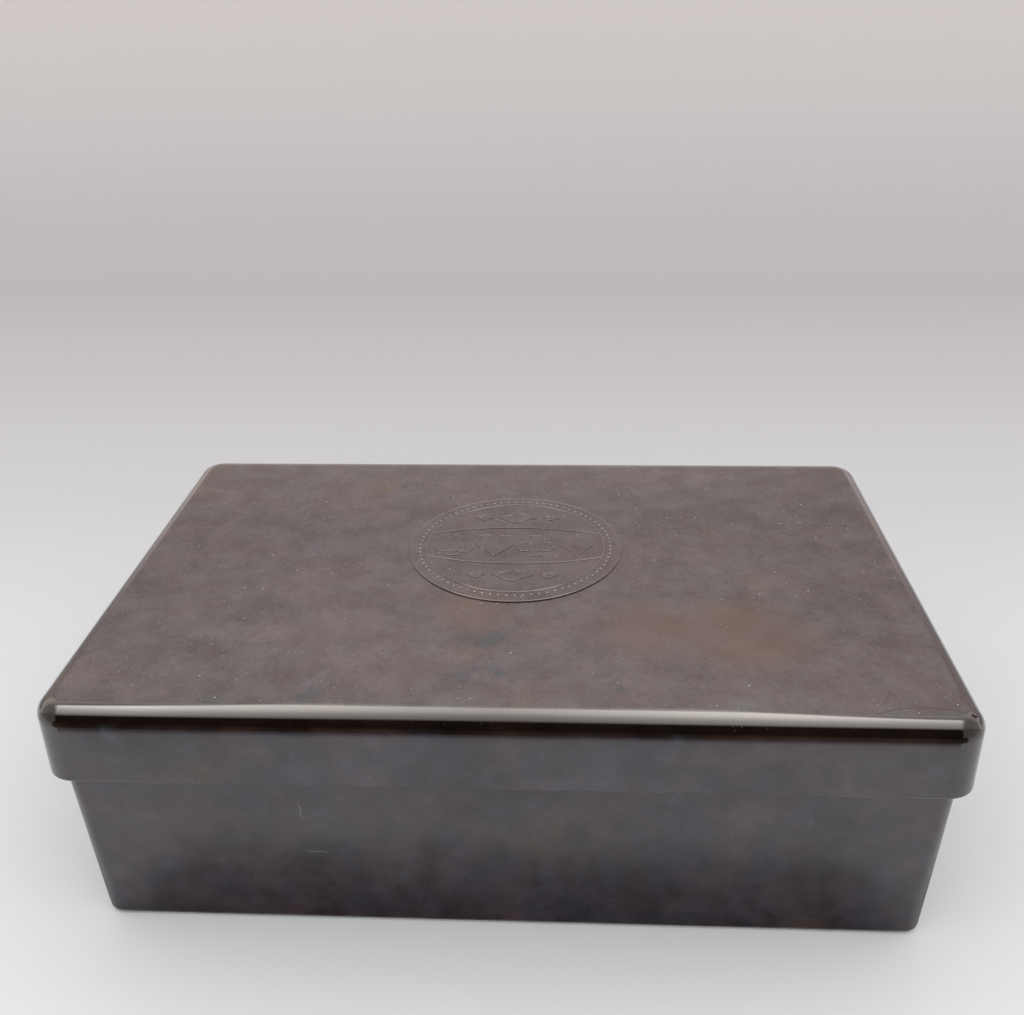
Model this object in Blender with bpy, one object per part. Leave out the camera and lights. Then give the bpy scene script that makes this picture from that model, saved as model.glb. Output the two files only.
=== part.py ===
"""Playing card and chip case: a moulded phenolic box with a lift-off lid.

The lid's skirt overhangs the tapered base and locates round a stepped spigot.
Webs moulded in the base leave one long well for two packs of cards on edge and
four bays. Each bay holds a lift-out rack for one row of chips on edge.

Metres, +Z up, front towards -Y. The origin is the middle of the footprint, on
the surface that the case stands on.
"""

import math

import bmesh
import bpy

# Closed case, measured over the lid's skirt
CASE_LENGTH = 0.2032
CASE_WIDTH = 0.1296
CASE_HEIGHT = 0.0644
PLAN_CORNER_RADIUS = 0.0070

# Lid
LID_DEPTH = 0.0189
LID_WALL = 0.0026
LID_TOP = 0.0028
LID_DRAFT_DEGREES = 0.64
LID_INNER_DRAFT_DEGREES = 1.0
LID_EDGE_RADIUS = 0.0041
LID_INNER_FILLET = 0.0012
SKIRT_EDGE_RADIUS = 0.0004

# Raised roundel on the lid, a little behind the middle
ROUNDEL_RADIUS = 0.02825
ROUNDEL_BACK_OFFSET = 0.0091
ROUNDEL_RISE = 0.0003
ROUNDEL_RING_RISE = 0.0002
ROUNDEL_RING_WIDTH = 0.0008
ROUNDEL_INNER_RING_RADIUS = 0.0240
ROUNDEL_ROOT = 0.0010

# Base
SKIRT_CLEARANCE = 0.00045
BASE_DRAFT_DEGREES = 1.9
BASE_WALL = 0.0028
BASE_FLOOR = 0.0026
BASE_INNER_DRAFT_DEGREES = 1.0
BASE_INNER_CORNER_RADIUS = 0.0032
BASE_FLOOR_FILLET = 0.0010
FOOT_RADIUS = 0.0020
FOOT_RIM_WIDTH = 0.0050
FOOT_RECESS = 0.0008
SHOULDER_LIFT = 0.0020
SPIGOT_STEP = 0.0005
SPIGOT_DRAFT_DEGREES = 0.6
RIM_RADIUS = 0.0008

# Webs moulded in the base
CARD_WELL_WIDTH = 0.0185
WEB_TOP_WIDTH = 0.0020
WEB_DRAFT_DEGREES = 0.5
LONG_WEB_BELOW_RIM = 0.0250
CARD_STOP_BELOW_RIM = 0.0310
RACK_STOP_HEIGHT = 0.0160

# Chip racks
RACK_CLEARANCE = 0.0006
RACK_LAND = 0.00275
RACK_LAND_RISE = 0.0054
RACK_FLOOR = 0.0018
RACK_SIDE_WALL = 0.0018
RACK_FOOT_WIDTH = 0.0120
RACK_END_PLATE = 0.0024
RACK_CORNER_RADIUS = 0.0028
TAB_WIDTH = 0.0240
TAB_CORNER_RADIUS = 0.0060
TAB_HEADROOM = 0.0029
FINGER_HOLE_RADIUS = 0.0055
FINGER_HOLE_MARGIN = 0.0032

# Shared
SEAT_GAP = 0.0003
CUT_OVERRUN = 0.0020
LEAST_CORNER_RADIUS = 0.0003

# Facets
CORNER_STEPS = 8
EDGE_STEPS = 6
SMALL_EDGE_STEPS = 3
ROUNDEL_STEPS = 96
TROUGH_STEPS = 24
ARCH_STEPS = 6
HOLE_STEPS = 24
SMOOTH_ANGLE_DEGREES = 30.0

SKIRT_HEIGHT = CASE_HEIGHT - LID_DEPTH
LID_UNDERSIDE = CASE_HEIGHT - LID_TOP
RIM_HEIGHT = LID_UNDERSIDE - SEAT_GAP
SHOULDER_HEIGHT = SKIRT_HEIGHT + SHOULDER_LIFT
FLOOR_HEIGHT = FOOT_RECESS + BASE_FLOOR
BASE_INSET = LID_WALL + SKIRT_CLEARANCE


def slope(degrees):
    """Sideways run of a drafted wall for each unit of its height."""
    return math.tan(math.radians(degrees))


def lid_outer_inset(height):
    return (height - SKIRT_HEIGHT) * slope(LID_DRAFT_DEGREES)


def lid_inner_inset(height):
    return LID_WALL + (height - SKIRT_HEIGHT) * slope(LID_INNER_DRAFT_DEGREES)


def base_outer_inset(height):
    return BASE_INSET + (SKIRT_HEIGHT - height) * slope(BASE_DRAFT_DEGREES)


def spigot_inset(height):
    rise = height - SHOULDER_HEIGHT
    return base_outer_inset(SHOULDER_HEIGHT) + SPIGOT_STEP + rise * slope(SPIGOT_DRAFT_DEGREES)


def base_inner_inset(height):
    rise = height - FLOOR_HEIGHT
    return base_outer_inset(FLOOR_HEIGHT) + BASE_WALL - rise * slope(BASE_INNER_DRAFT_DEGREES)


def web_half_thickness(height, top):
    return WEB_TOP_WIDTH / 2 + (top - height) * slope(WEB_DRAFT_DEGREES)


def arc(start_degrees, end_degrees, steps):
    """Cosine and sine at even steps along an arc."""
    turns = []
    for step in range(steps + 1):
        angle = math.radians(start_degrees + (end_degrees - start_degrees) * step / steps)
        turns.append((math.cos(angle), math.sin(angle)))
    return turns


def rounded_rectangle(half_length, half_width, radius, height):
    """One level's outline, anticlockwise from above."""
    radius = max(radius, LEAST_CORNER_RADIUS)
    points = []
    for quarter, (side_x, side_y) in enumerate(((1, 1), (-1, 1), (-1, -1), (1, -1))):
        centre_x = side_x * (half_length - radius)
        centre_y = side_y * (half_width - radius)
        for cosine, sine in arc(90 * quarter, 90 * quarter + 90, CORNER_STEPS):
            points.append((centre_x + radius * cosine, centre_y + radius * sine, height))
    return points


def case_ring(inset, radius, height):
    """A level that lies inset from the case's outline."""
    return rounded_rectangle(CASE_LENGTH / 2 - inset, CASE_WIDTH / 2 - inset, radius, height)


def circle_ring(radius, height, middle_y, steps):
    return [(radius * cosine, middle_y + radius * sine, height)
            for cosine, sine in arc(0, 360, steps)[:-1]]


def skin(name, rings, origin=(0, 0, 0)):
    """A closed body through the rings, with its first and last ring capped."""
    shape = bmesh.new()
    loops = []
    for ring in rings:
        loops.append([shape.verts.new([value - shift for value, shift in zip(point, origin)])
                      for point in ring])
    for lower, upper in zip(loops, loops[1:]):
        for here in range(len(lower)):
            after = (here + 1) % len(lower)
            shape.faces.new((lower[here], lower[after], upper[after], upper[here]))
    shape.faces.new(loops[0])
    shape.faces.new(loops[-1])
    bmesh.ops.recalc_face_normals(shape, faces=shape.faces)
    mesh = bpy.data.meshes.new(name)
    shape.to_mesh(mesh)
    shape.free()
    mesh.shade_smooth()
    mesh.set_sharp_from_angle(angle=math.radians(SMOOTH_ANGLE_DEGREES))
    made = bpy.data.objects.new(name, mesh)
    made.location = origin
    bpy.context.scene.collection.objects.link(made)
    return made


def tool_shape(name, rings):
    """A body that only cuts or joins another one."""
    tool = skin(name, rings)
    tool.hide_render = True
    tool.display_type = 'WIRE'
    return tool


def combine(target, tool, operation):
    boolean = target.modifiers.new(tool.name, 'BOOLEAN')
    boolean.operation = operation
    boolean.solver = 'EXACT'
    boolean.object = tool


def phenolic(name, colour, roughness):
    """Dark moulded resin with a gloss."""
    material = bpy.data.materials.new(name)
    material.use_nodes = True
    shader = material.node_tree.nodes['Principled BSDF']
    shader.inputs['Base Color'].default_value = (*colour, 1)
    shader.inputs['Roughness'].default_value = roughness
    shader.inputs['Metallic'].default_value = 0
    return material


def lid_rings():
    """From the underside, down inside the skirt, round its edge and over the top."""
    inner_corner = PLAN_CORNER_RADIUS - LID_WALL
    rings = []
    fillet_height = LID_UNDERSIDE - LID_INNER_FILLET
    fillet_inset = lid_inner_inset(fillet_height) + LID_INNER_FILLET
    for outward, up in arc(90, 0, SMALL_EDGE_STEPS):
        rings.append(case_ring(fillet_inset - LID_INNER_FILLET * outward,
                               inner_corner - LID_INNER_FILLET * (1 - outward),
                               fillet_height + LID_INNER_FILLET * up))
    edge_height = SKIRT_HEIGHT + SKIRT_EDGE_RADIUS
    for inward, down in arc(0, 90, SMALL_EDGE_STEPS):
        rings.append(case_ring(LID_WALL - SKIRT_EDGE_RADIUS * (1 - inward),
                               inner_corner + SKIRT_EDGE_RADIUS * (1 - inward),
                               edge_height - SKIRT_EDGE_RADIUS * down))
    for outward, down in arc(90, 0, SMALL_EDGE_STEPS):
        rings.append(case_ring(SKIRT_EDGE_RADIUS * (1 - outward),
                               PLAN_CORNER_RADIUS - SKIRT_EDGE_RADIUS * (1 - outward),
                               edge_height - SKIRT_EDGE_RADIUS * down))
    round_height = CASE_HEIGHT - LID_EDGE_RADIUS
    draft = math.radians(LID_DRAFT_DEGREES)
    round_inset = lid_outer_inset(round_height) + LID_EDGE_RADIUS / math.cos(draft)
    for outward, up in arc(LID_DRAFT_DEGREES, 90, EDGE_STEPS):
        rings.append(case_ring(round_inset - LID_EDGE_RADIUS * outward,
                               PLAN_CORNER_RADIUS - LID_EDGE_RADIUS * (1 - outward),
                               round_height + LID_EDGE_RADIUS * up))
    return rings


def roundel_rings():
    """A shallow disc with a raised ring at its edge and another inside it."""
    disc_height = CASE_HEIGHT + ROUNDEL_RISE
    ring_height = disc_height + ROUNDEL_RING_RISE
    edge = (ROUNDEL_RADIUS, ROUNDEL_RADIUS - ROUNDEL_RING_WIDTH)
    inner = (ROUNDEL_INNER_RING_RADIUS, ROUNDEL_INNER_RING_RADIUS - ROUNDEL_RING_WIDTH)
    profile = [(edge[0], CASE_HEIGHT - ROUNDEL_ROOT), (edge[0], disc_height),
               (sum(edge) / 2, ring_height), (edge[1], disc_height),
               (inner[0], disc_height), (sum(inner) / 2, ring_height), (inner[1], disc_height)]
    return [circle_ring(radius, height, ROUNDEL_BACK_OFFSET, ROUNDEL_STEPS)
            for radius, height in profile]


def make_lid():
    lid = skin('lid', lid_rings(), (0, 0, SKIRT_HEIGHT))
    combine(lid, tool_shape('roundel_form', roundel_rings()), 'UNION')
    lid.data.materials.append(phenolic('lid_phenolic', (0.045, 0.029, 0.025), 0.25))
    return lid


def base_rings():
    """From the underside's recess, over the foot, up outside and down to the floor."""
    outer_corner = PLAN_CORNER_RADIUS - BASE_INSET
    spigot_corner = outer_corner - SPIGOT_STEP
    inner_corner = BASE_INNER_CORNER_RADIUS
    draft = math.radians(BASE_DRAFT_DEGREES)
    foot_inset = base_outer_inset(FOOT_RADIUS) + FOOT_RADIUS / math.cos(draft)
    recess_inset = foot_inset + FOOT_RIM_WIDTH
    foot_corner = outer_corner - FOOT_RADIUS
    rings = [case_ring(recess_inset, foot_corner, FOOT_RECESS),
             case_ring(recess_inset, foot_corner, 0)]
    for down, outward in arc(0, 90 - BASE_DRAFT_DEGREES, EDGE_STEPS):
        rings.append(case_ring(foot_inset - FOOT_RADIUS * outward,
                               outer_corner - FOOT_RADIUS * (1 - outward),
                               FOOT_RADIUS * (1 - down)))
    rings.append(case_ring(base_outer_inset(SHOULDER_HEIGHT), outer_corner, SHOULDER_HEIGHT))
    rings.append(case_ring(spigot_inset(SHOULDER_HEIGHT), spigot_corner, SHOULDER_HEIGHT))
    round_height = RIM_HEIGHT - RIM_RADIUS
    for outward, up in arc(0, 90, SMALL_EDGE_STEPS):
        rings.append(case_ring(spigot_inset(round_height) + RIM_RADIUS * (1 - outward),
                               spigot_corner - RIM_RADIUS * (1 - outward),
                               round_height + RIM_RADIUS * up))
    for inward, up in arc(90, 0, SMALL_EDGE_STEPS):
        rings.append(case_ring(base_inner_inset(round_height) - RIM_RADIUS * (1 - inward),
                               inner_corner + RIM_RADIUS * (1 - inward),
                               round_height + RIM_RADIUS * up))
    fillet_height = FLOOR_HEIGHT + BASE_FLOOR_FILLET
    for outward, down in arc(0, 90, SMALL_EDGE_STEPS):
        rings.append(case_ring(base_inner_inset(fillet_height) + BASE_FLOOR_FILLET * (1 - outward),
                               inner_corner - BASE_FLOOR_FILLET * (1 - outward),
                               fillet_height - BASE_FLOOR_FILLET * down))
    return rings


def web_end(half_size, height):
    """How far a web reaches: half way through the wall that it grows from."""
    return half_size - base_inner_inset(height) + BASE_WALL / 2


def long_web_rings(middle_y):
    """A drafted web from end wall to end wall, rooted in the floor."""
    top = RIM_HEIGHT - LONG_WEB_BELOW_RIM
    root = FLOOR_HEIGHT - BASE_FLOOR / 2
    outline = []
    for side, height in ((-1, root), (1, root), (1, top), (-1, top)):
        outline.append((side * web_end(CASE_LENGTH / 2, height), height))
    rings = []
    for side in (-1, 1):
        rings.append([(x, middle_y + side * web_half_thickness(height, top), height)
                      for x, height in outline])
    return rings


def cross_web_rings(long_web_y):
    """A stop between the two packs, lower in the bays where it parts the racks."""
    stop_top = RIM_HEIGHT - CARD_STOP_BELOW_RIM
    rack_top = FLOOR_HEIGHT + RACK_STOP_HEIGHT
    root = FLOOR_HEIGHT - BASE_FLOOR / 2
    reach = CASE_WIDTH / 2
    outline = [(-web_end(reach, root), root), (web_end(reach, root), root),
               (web_end(reach, rack_top), rack_top), (long_web_y, rack_top),
               (long_web_y, stop_top), (-long_web_y, stop_top),
               (-long_web_y, rack_top), (-web_end(reach, rack_top), rack_top)]
    rings = []
    for side in (-1, 1):
        rings.append([(side * web_half_thickness(height, stop_top), y, height)
                      for y, height in outline])
    return rings


def make_base(long_web_y):
    base = skin('base', base_rings())
    for name, side in (('front_web_form', -1), ('back_web_form', 1)):
        combine(base, tool_shape(name, long_web_rings(side * long_web_y)), 'UNION')
    combine(base, tool_shape('cross_web_form', cross_web_rings(long_web_y)), 'UNION')
    base.data.materials.append(phenolic('base_phenolic', (0.040, 0.028, 0.026), 0.25))
    return base


def along_x(outline, start, end):
    """The two end rings of a bar whose section lies across X."""
    return [[(x, y, z) for y, z in outline] for x in (start, end)]


def rack_end_outline(half_width, trough_radius, height):
    """Square to the lands, then an arch round the chips under a finger tab."""
    axis_height = RACK_FLOOR + trough_radius
    land_angle = math.degrees(math.asin(RACK_LAND_RISE / trough_radius))
    tab_angle = math.degrees(math.acos(TAB_WIDTH / 2 / trough_radius))
    side = [(half_width, 0), (half_width, axis_height + RACK_LAND_RISE)]
    for cosine, sine in arc(land_angle, tab_angle, ARCH_STEPS):
        side.append((trough_radius * cosine, axis_height + trough_radius * sine))
    for cosine, sine in arc(0, 90, ARCH_STEPS):
        side.append((TAB_WIDTH / 2 - TAB_CORNER_RADIUS * (1 - cosine),
                     height - TAB_CORNER_RADIUS * (1 - sine)))
    return side + [(-y, z) for y, z in reversed(side)]


def trough_outline(half_width, trough_radius, height):
    """The row's round trough and all that lies above the lands."""
    axis_height = RACK_FLOOR + trough_radius
    land_height = axis_height + RACK_LAND_RISE
    outline = [(half_width + CUT_OVERRUN, height + CUT_OVERRUN),
               (-half_width - CUT_OVERRUN, height + CUT_OVERRUN),
               (-half_width - CUT_OVERRUN, land_height), (-trough_radius, land_height)]
    for cosine, sine in arc(180, 360, TROUGH_STEPS):
        outline.append((trough_radius * cosine, axis_height + trough_radius * sine))
    outline.append((trough_radius, land_height))
    outline.append((half_width + CUT_OVERRUN, land_height))
    return outline


def pocket_outline(side, half_width, trough_radius):
    """The hollow under one side of the trough, open below."""
    axis_height = RACK_FLOOR + trough_radius
    outer_radius = trough_radius + RACK_FLOOR
    wall_face = half_width - RACK_SIDE_WALL
    foot_angle = math.degrees(math.asin(RACK_FOOT_WIDTH / 2 / outer_radius))
    wall_angle = math.degrees(math.asin(wall_face / outer_radius))
    outline = [(side * RACK_FOOT_WIDTH / 2, -CUT_OVERRUN)]
    for down, outward in arc(foot_angle, wall_angle, ARCH_STEPS):
        outline.append((side * outer_radius * outward, axis_height - outer_radius * down))
    outline.append((side * wall_face, -CUT_OVERRUN))
    return outline


def rack_mesh(length, width, height):
    """One rack about its own middle, standing on zero."""
    half_length = length / 2
    half_width = width / 2
    trough_radius = half_width - RACK_LAND
    inner_end = half_length - RACK_END_PLATE
    end_outline = rack_end_outline(half_width, trough_radius, height)
    rack = skin('rack_form', along_x(end_outline, -half_length, half_length))
    plan = [rounded_rectangle(half_length, half_width, RACK_CORNER_RADIUS, level)
            for level in (-CUT_OVERRUN, height + CUT_OVERRUN)]
    trough = along_x(trough_outline(half_width, trough_radius, height), -inner_end, inner_end)
    hole_height = height - FINGER_HOLE_MARGIN - FINGER_HOLE_RADIUS
    hole = [(FINGER_HOLE_RADIUS * cosine, hole_height + FINGER_HOLE_RADIUS * sine)
            for cosine, sine in arc(0, 360, HOLE_STEPS)[:-1]]
    hole_reach = half_length + CUT_OVERRUN
    tools = [tool_shape('rack_plan', plan), tool_shape('rack_trough', trough),
             tool_shape('rack_finger_holes', along_x(hole, -hole_reach, hole_reach))]
    for side in (-1, 1):
        pocket = pocket_outline(side, half_width, trough_radius)
        tools.append(tool_shape('rack_pocket', along_x(pocket, -inner_end, inner_end)))
    for tool in tools:
        combine(rack, tool, 'INTERSECT' if tool.name == 'rack_plan' else 'DIFFERENCE')
    shaped = rack.evaluated_get(bpy.context.evaluated_depsgraph_get())
    mesh = bpy.data.meshes.new_from_object(shaped)
    mesh.name = 'chip_rack'
    mesh.materials.append(phenolic('rack_phenolic', (0.050, 0.030, 0.024), 0.35))
    for helper in [rack] + tools:
        bpy.data.objects.remove(helper)
    return mesh


def make_racks(long_web_y):
    """Four racks, each clear of the walls and webs of its own bay."""
    stop_top = RIM_HEIGHT - CARD_STOP_BELOW_RIM
    web_top = RIM_HEIGHT - LONG_WEB_BELOW_RIM
    bay_start_x = web_half_thickness(FLOOR_HEIGHT, stop_top)
    bay_end_x = CASE_LENGTH / 2 - base_inner_inset(FLOOR_HEIGHT)
    bay_start_y = long_web_y + web_half_thickness(FLOOR_HEIGHT, web_top)
    bay_end_y = CASE_WIDTH / 2 - base_inner_inset(FLOOR_HEIGHT)
    seat = FLOOR_HEIGHT + SEAT_GAP
    mesh = rack_mesh(bay_end_x - bay_start_x - 2 * RACK_CLEARANCE,
                     bay_end_y - bay_start_y - 2 * RACK_CLEARANCE,
                     LID_UNDERSIDE - TAB_HEADROOM - seat)
    for row, side_y in (('front', -1), ('back', 1)):
        for column, side_x in (('left', -1), ('right', 1)):
            rack = bpy.data.objects.new('chip_rack_' + row + '_' + column, mesh)
            rack.location = (side_x * (bay_start_x + bay_end_x) / 2,
                             side_y * (bay_start_y + bay_end_y) / 2, seat)
            bpy.context.scene.collection.objects.link(rack)


def main():
    for old in list(bpy.data.objects):
        bpy.data.objects.remove(old)
    web_top = RIM_HEIGHT - LONG_WEB_BELOW_RIM
    long_web_y = CARD_WELL_WIDTH / 2 + web_half_thickness(FLOOR_HEIGHT, web_top)
    make_base(long_web_y)
    make_racks(long_web_y)
    make_lid()


main()
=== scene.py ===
"""Looks of the playing card and chip case: mottled moulded phenolic with a lift-off lid.

Metres, +Z up, front towards -Y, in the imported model's frame. The case stands on z = 0.
"""

import math

import bmesh
import bpy
from mathutils import Matrix, Vector


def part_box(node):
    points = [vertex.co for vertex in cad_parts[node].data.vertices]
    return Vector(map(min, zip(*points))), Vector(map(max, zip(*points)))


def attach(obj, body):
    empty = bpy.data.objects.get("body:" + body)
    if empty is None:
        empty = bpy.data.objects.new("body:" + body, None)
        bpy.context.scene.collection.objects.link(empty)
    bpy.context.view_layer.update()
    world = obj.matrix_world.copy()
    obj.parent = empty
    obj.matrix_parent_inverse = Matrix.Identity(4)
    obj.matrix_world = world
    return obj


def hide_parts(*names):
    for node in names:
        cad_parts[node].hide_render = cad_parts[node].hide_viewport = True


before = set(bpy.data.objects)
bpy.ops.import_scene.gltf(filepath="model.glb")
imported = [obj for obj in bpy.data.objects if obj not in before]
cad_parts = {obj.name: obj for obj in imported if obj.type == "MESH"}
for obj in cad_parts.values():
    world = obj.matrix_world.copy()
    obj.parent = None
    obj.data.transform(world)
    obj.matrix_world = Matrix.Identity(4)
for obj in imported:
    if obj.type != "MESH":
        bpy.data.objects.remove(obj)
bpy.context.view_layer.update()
LID_LOW, LID_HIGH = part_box("lid")
BASE_LOW, BASE_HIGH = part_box("base")

# Lid
PLAN_CORNER_RADIUS = 0.0070
LID_WALL = 0.0026
LID_TOP = 0.0028
LID_DRAFT_DEGREES = 0.64
LID_INNER_DRAFT_DEGREES = 1.0
LID_EDGE_RADIUS = 0.0041
LID_EASE_RADIUS = 0.0150
LID_EASE_DEGREES = 6.0
LID_INNER_FILLET = 0.0012
SKIRT_EDGE_RADIUS = 0.0004

# Raised roundel on the lid and what is moulded on it
ROUNDEL_RADIUS = 0.02825
ROUNDEL_BACK_OFFSET = 0.0091
ROUNDEL_RISE = 0.0003
ROUNDEL_STEP_FILLET = 0.00003
RING_RISE = 0.00012
RIM_RISE = 0.00003
INNER_RING_RADIUS = 0.0240
BEAD_RING_RADIUS = 0.0255
BEAD_RADIUS = 0.00042
BEAD_RISE_SHARE = 0.60
BEAD_COUNT = 78
LINE_WIDTH = 0.00040
LINE_RISE = 0.00018
PIP_RISE = 0.00007
PIP_EDGE_RADIUS = 0.00004
PIP_HEIGHT = 0.0112
PIP_PITCH = 0.0109
BAND_HALF_HEIGHT = 0.0098
BAND_END_HALF_HEIGHT = 0.0062
LOZENGE_MIDDLE = 0.0157
LOZENGE_HALF_LENGTH = 0.0052
LOZENGE_HALF_HEIGHT = 0.0030
SMALL_LOZENGE_SHARE = 0.42
SMALL_LOZENGE_OFFSET = 0.0094

# Chips out of the lid's edges near its front right corner, as middle, half size and turn
LID_CHIPS = (((0.0982, -0.0604, 0.0639), (0.00105, 0.00034, 0.00045), -12),
             ((0.0986, -0.0650, 0.0502), (0.0005, 0.0007, 0.0009), 30))

# Base
SKIRT_CLEARANCE = 0.00045
BASE_DRAFT_DEGREES = 1.9
BASE_WALL = 0.0028
FLOOR_HEIGHT = 0.0034
BASE_INNER_DRAFT_DEGREES = 1.0
BASE_INNER_CORNER_RADIUS = 0.0032
BASE_FLOOR_FILLET = 0.0010
FOOT_RADIUS = 0.0020
FOOT_RIM_WIDTH = 0.0050
FOOT_RECESS = 0.0008
SHOULDER_LIFT = 0.0020
SPIGOT_STEP = 0.0005
SPIGOT_DRAFT_DEGREES = 0.6
RIM_RADIUS = 0.0008

# Webs in the base
CARD_WELL_WIDTH = 0.0185
WEB_TOP_WIDTH = 0.0020
WEB_TOP_RADIUS = 0.0006
WEB_DRAFT_DEGREES = 0.5
LONG_WEB_BELOW_RIM = 0.0250
CARD_STOP_BELOW_RIM = 0.0310
RACK_STOP_HEIGHT = 0.0160

# Chip racks
RACK_LAND = 0.00275
RACK_LAND_RISE = 0.0054
RACK_FLOOR = 0.0018
RACK_SIDE_WALL = 0.0018
RACK_FOOT_WIDTH = 0.0120
RACK_END_PLATE = 0.0024
RACK_CORNER_RADIUS = 0.0028
RACK_EDGE_RADIUS = 0.0003
TAB_WIDTH = 0.0240
TAB_CORNER_RADIUS = 0.0060
FINGER_HOLE_RADIUS = 0.0055
FINGER_HOLE_MARGIN = 0.0032

# Facets
CORNER_STEPS = 20
EDGE_STEPS = 14
EASE_STEPS = 4
SMALL_EDGE_STEPS = 5
ROUNDEL_STEPS = 256
TROUGH_STEPS = 72
ARCH_STEPS = 16
HOLE_STEPS = 48
CURVE_STEPS = 14
LINE_SIDES = 12
BEAD_SEGMENTS = 12
BEAD_RINGS = 8
SMOOTH_ANGLE_DEGREES = 30.0
CUT_OVERRUN = 0.0020
LEAST_CORNER_RADIUS = 0.0003
ROUNDING_SEGMENTS = 2
FACE_WEIGHT = 100
MERGE_SHARE = 0.01

# Photograph's view
IMAGE_WIDTH = 1024
FOCAL_PIXELS = 1067.9
SENSOR_WIDTH = 36.0
CAMERA_PLACE = (0.01414, -0.24118, 0.20428)
CAMERA_PITCH_DEGREES = -27.081
CAMERA_YAW_DEGREES = -3.391
CAMERA_ROLL_DEGREES = -1.161
CAMERA_CLIP = 0.01

# Clouds and stains of the lid, as tone, middle and half size in millimetres
LID_PATCHES = (
    ("tan", (55, -32, 64), (20, 17, 9)), ("tan", (32, -29, 64), (12, 13, 9)),
    ("tan", (-9, -23, 64), (11, 11, 9)), ("tan", (-41, 45, 64), (8, 5, 9)),
    ("stain", (-29, -20, 64), (4.2, 3.0, 9)), ("stain", (-33, 46, 64), (5, 3, 9)),
    ("stain", (-5, -35, 64), (6.5, 4, 9)), ("stain", (-3, -49, 64), (9, 5, 9)),
    ("stain", (24, -51, 64), (7, 5, 9)), ("stain", (-42, -57, 64), (4, 3, 9)),
    ("stain", (-31, -58, 64), (4, 3, 9)), ("olive", (-92, -62, 47), (16, 9, 9)),
    ("smear", (-62, -34, 64), (15, 5.5, 9)), ("bloom", (-38, -64, 48), (15, 5, 4.5)),
    ("bloom", (18, -64, 47), (11, 5, 3)))

# Two scratches on the base's front, in the same terms
BASE_PATCHES = (("scratch", (-45.7, -60.5, 35.5), (0.25, 9, 3.4)),
                ("scratch", (-43, -60.5, 22.9), (3.2, 9, 0.2)))
PATCH_STRENGTH = {"tan": 0.50, "stain": 0.72, "olive": 0.30, "smear": 0.10, "bloom": 0.14,
                  "scratch": 0.30}

# Shares of a patch's half size at which it begins to fade and ends
PATCH_FADE = (0.4, 1.2)

# A hairline crack on the lid, as the middle and the radius of its arc in millimetres
LID_CRACK = ((88.6, -81.45), 23.15)
CRACK_WIDTH = 0.36
CRACK_SHARE = 0.75

# The patterns below are each given by size in millimetres, detail, roughness, the noise at which
# they start and at which they are full, what they give there, and their seed
CLOUDS = {"flour": (24, 5, 0.60, 0.36, 0.64, 0.0, 1.0, 0),
          "cool": (17, 5, 0.60, 0.48, 0.66, 0.0, 0.55, 17),
          "ochre": (42, 4, 0.58, 0.54, 0.70, 0.0, 0.50, 34),
          "stain": (9, 5, 0.66, 0.61, 0.70, 0.0, 0.5, 51)}
MOTTLE = (7.0, 6, 0.62, 0.25, 0.75, 0.60, 1.45, 61)
STAIN_BREAKS = (4.5, 4, 0.6, 0.36, 0.62, 0.0, 1.0, 41)
SPECK_CROWDS = (16, 4, 0.6, 0.40, 0.62, 0.10, 1.0, 37)
ROUGHNESS = (28, 4, 0.55, 0.35, 0.70, 0.10, 0.17, 31)

# Films on the surface. The finest of each is drawn coarser than real dust or wax, so that it shows
FILMS = {"dust": ((8.0, 6, 0.64, 0.25, 0.75, 0.02, 0.26, 77), (0.9, 3, 0.6, 0.25, 0.75, 0.0, 0.13, 100)),
         "bloom": ((26.0, 4, 0.5, 0.25, 0.75, 0.0, 0.12, 77), (6.0, 6, 0.64, 0.25, 0.75, 0.0, 0.24, 100),
                   (0.9, 3, 0.6, 0.25, 0.75, 0.0, 0.12, 123))}

# Plain noises, as size in millimetres, detail, roughness and seed, and how far two of them push
# what is drawn, in millimetres
FLOW = (30, 1, 0.5, 0)
FLOW_REACH = 14
RAGGED = (4, 3, 0.5, 2)
RAGGED_REACH = 3.5
RIPPLE = (30, 2, 0.4, 3)
PEEL = (2.2, 3, 0.5, 5)
PEEL_SHARE = 0.03
RIPPLE_DEPTH = 0.00008

# Dust, specks and lint, as spacing and radius in millimetres, stretch, turn in degrees and share
SPECKS = ((1.3, 0.14, 1, 0, 0.8), (2.7, 0.20, 1, 0, 1.0), (3.9, 0.26, 1, 0, 0.9),
          (9.0, 0.11, 9, 35, 1.0), (12.0, 0.11, 12, -52, 1.0), (14.0, 0.12, 8, 4, 1.0))
SPECK_CORE_SHARE = 0.5
SPECK_PICK = (0.45, 0.85)
WALL_SPECK_SHARE = 0.2

# Which way the surface faces, by its normal's upward part or, for the front, by its part along Y
LEVEL_RISE = (0.9930, 0.9965)
WALL_LEAN = (0.05, 0.15)
# The front's rounded edge takes painted shade between these upward parts, where it faces the front
EDGE_START = (0.12, 0.35)
EDGE_END = (0.90, 0.99)
FRONT_TURN = (-0.4, 0.0)
# Rounded edges that face down take a painted highlight between these upward parts
UNDER_START = (-0.95, -0.85)
UNDER_END = (-0.35, -0.12)

# Height in millimetres at which the bloom on the walls ends, under the lid's rounded edge
BLOOM_END = (59.6, 60.6)
# How far to each side the front's rounded edge takes its painted shade, in millimetres
FRONT_PAINT_END = (96.0, 99.0)
FRONT_PAINT_SHARE = 0.92
# Share of the painted highlight on rounded edges that face down
UNDER_HIGHLIGHT_SHARE = 0.5

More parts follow.
